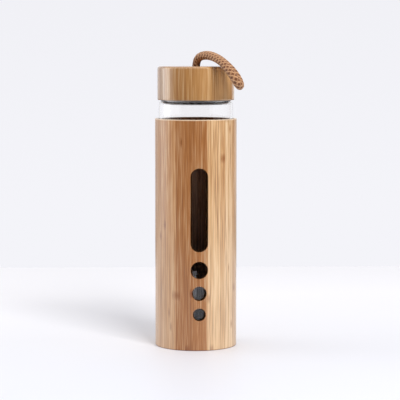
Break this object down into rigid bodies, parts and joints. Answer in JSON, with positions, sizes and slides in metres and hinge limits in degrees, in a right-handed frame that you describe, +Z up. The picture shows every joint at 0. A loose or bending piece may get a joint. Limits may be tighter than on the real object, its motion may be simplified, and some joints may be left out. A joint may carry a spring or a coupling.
{
  "type": "glass water bottle",
  "caption": "Slim glass drinking bottle in a windowed wooden sleeve, with a wood-clad screw cap and a braided cord loop to carry it by.",
  "frame": {"origin": "centre of the foot of the sleeve, on the surface that the bottle stands on", "axes": "+Z up along the bottle, -Y the side with the windows, +X right when the windows face the viewer"},
  "size_m": [0.0665, 0.0852, 0.2353],
  "materials": {
    "sleeve_bamboo": "satin lacquered laminated bamboo",
    "base_bamboo": "sanded bamboo",
    "cap_bamboo": "satin lacquered bamboo",
    "soft_pad": "matt foam rubber",
    "silicone": "matt translucent silicone",
    "clear_glass": "clear polished borosilicate",
    "liner_steel": "brushed stainless",
    "braided_cord": "round braid, tan and brown"
  },
  "bodies": {
    "sleeve": {"bamboo_sleeve": "sleeve_bamboo", "sleeve_base": "base_bamboo", "base_pad": "soft_pad", "lower_ring": "silicone", "upper_ring": "silicone"},
    "glass": {"glass_bottle": "clear_glass"},
    "seal": {"cap_gasket": "silicone"},
    "cap": {"cap_shell": "cap_bamboo", "cap_liner": "liner_steel", "cord_loop": "braided_cord", "cord_knot_rear": "braided_cord", "cord_knot_front": "braided_cord"}
  },
  "joints": [
    {"name": "glass_slide", "type": "slide", "parent": "sleeve", "child": "glass", "axis": [0, 0, 1], "range_m": [0, 0.18]},
    {"name": "cap_lift", "type": "slide", "parent": "glass", "child": "seal", "axis": [0, 0, 1], "range_m": [0, 0.0201]},
    {"name": "cap_turn", "type": "hinge", "parent": "seal", "child": "cap", "pos_m": [0, 0, 0.2015], "axis": [0, 0, 1], "range_deg": [0, 900]}
  ],
  "couplings": [
    {"joint": "cap_lift", "follows": "cap_turn", "m_per_rad": 0.0012732}
  ]
}
